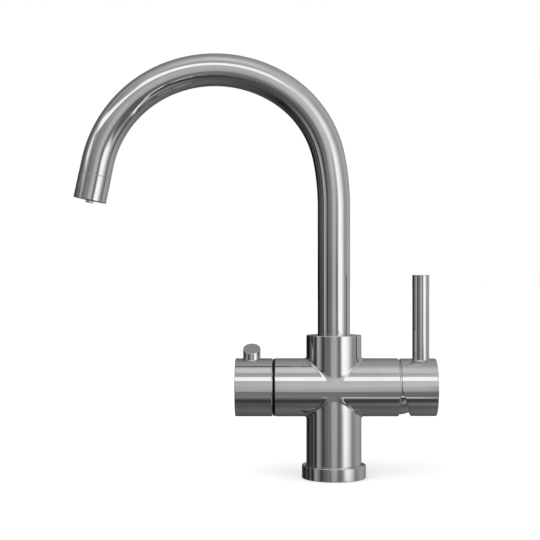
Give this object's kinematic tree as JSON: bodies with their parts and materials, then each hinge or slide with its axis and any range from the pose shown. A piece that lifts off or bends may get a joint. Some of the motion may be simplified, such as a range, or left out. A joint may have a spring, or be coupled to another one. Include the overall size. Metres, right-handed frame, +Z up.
{
  "type": "boiling water tap",
  "caption": "Chromed kitchen mixer with a tall swan-neck spout, a side lever for hot and cold water, and a knob with a push button lock for boiling water.",
  "frame": {"origin": "on the upright column's axis, in the plane of the worktop that the base ring stands on", "axes": "+Z up along the column, +X towards the mixer lever, -X towards the boiling water knob and the spout's outlet, -Y towards the user"},
  "size_m": [0.3126, 0.0552, 0.3657],
  "materials": {
    "chrome_plate": "polished chrome plate on brass",
    "brass": "machined brass",
    "steel": "plain stainless steel",
    "rubber": "matt black rubber",
    "ceramic": "ground technical ceramic",
    "white_polymer": "moulded acetal or silicone, natural white",
    "red_ring": "dark red moulded ring"
  },
  "bodies": {
    "tap_body": {"body_casting": "chrome_plate", "base_ring": "chrome_plate", "base_gasket": "rubber", "hot_tube_seal": "rubber", "spout_grub_screw": "steel", "cartridge_housing": "white_polymer", "cartridge_seals": "rubber", "fixed_disc": "ceramic", "cartridge_nut": "brass", "dome_cover": "chrome_plate", "valve_housing": "brass", "valve_seal": "rubber", "valve_fixed_disc": "ceramic", "lock_collar": "brass", "red_ring": "red_ring"},
    "spout": {"spout_tube": "chrome_plate", "spout_stem": "brass", "spout_o_rings": "rubber", "swivel_bush": "white_polymer", "hot_tube": "white_polymer", "end_sleeve": "chrome_plate", "aerator_housing": "white_polymer", "aerator_grille": "steel", "aerator_seal": "rubber", "hot_nozzle": "chrome_plate"},
    "mixer_carrier": {"cartridge_carrier": "white_polymer", "pivot_pin": "steel"},
    "mixer_disc": {"moving_disc": "ceramic"},
    "mixer_handle": {"cartridge_stem": "steel", "handle_cap": "chrome_plate", "lever_rod": "chrome_plate", "handle_grub_screw": "steel"},
    "hot_knob": {"hot_knob": "chrome_plate", "knob_glide_ring": "white_polymer", "valve_spindle": "brass", "valve_moving_disc": "ceramic", "knob_grub_screw": "steel", "button_spring": "steel"},
    "safety_button": {"safety_button": "chrome_plate", "button_clip": "steel"}
  },
  "joints": [
    {"name": "spout_swivel", "type": "hinge", "parent": "tap_body", "child": "spout", "pos_m": [0, 0, 0.1], "axis": [0, 0, 1], "range_deg": [-180, 180]},
    {"name": "mixer_turn", "type": "hinge", "parent": "tap_body", "child": "mixer_carrier", "pos_m": [0.0553, 0, 0.0776], "axis": [1, 0, 0], "range_deg": [-45, 45]},
    {"name": "mixer_tilt", "type": "hinge", "parent": "mixer_carrier", "child": "mixer_handle", "pos_m": [0.0553, 0, 0.0776], "axis": [0, 1, 0], "range_deg": [0, 20]},
    {"name": "disc_slide", "type": "slide", "parent": "mixer_carrier", "child": "mixer_disc", "axis": [0, 0, 1], "range_m": [0, 0.00415]},
    {"name": "hot_turn", "type": "hinge", "parent": "tap_body", "child": "hot_knob", "pos_m": [-0.07, 0, 0.0776], "axis": [1, 0, 0], "range_deg": [0, 90]},
    {"name": "safety_press", "type": "slide", "parent": "hot_knob", "child": "safety_button", "axis": [0, 0, -1], "range_m": [0, 0.003], "stiffness_N_per_m": 400, "springref_m": -0.002, "deforming": ["button_spring"]}
  ],
  "couplings": [
    {"joint": "disc_slide", "follows": "mixer_tilt", "m_per_rad": 0.01185}
  ]
}
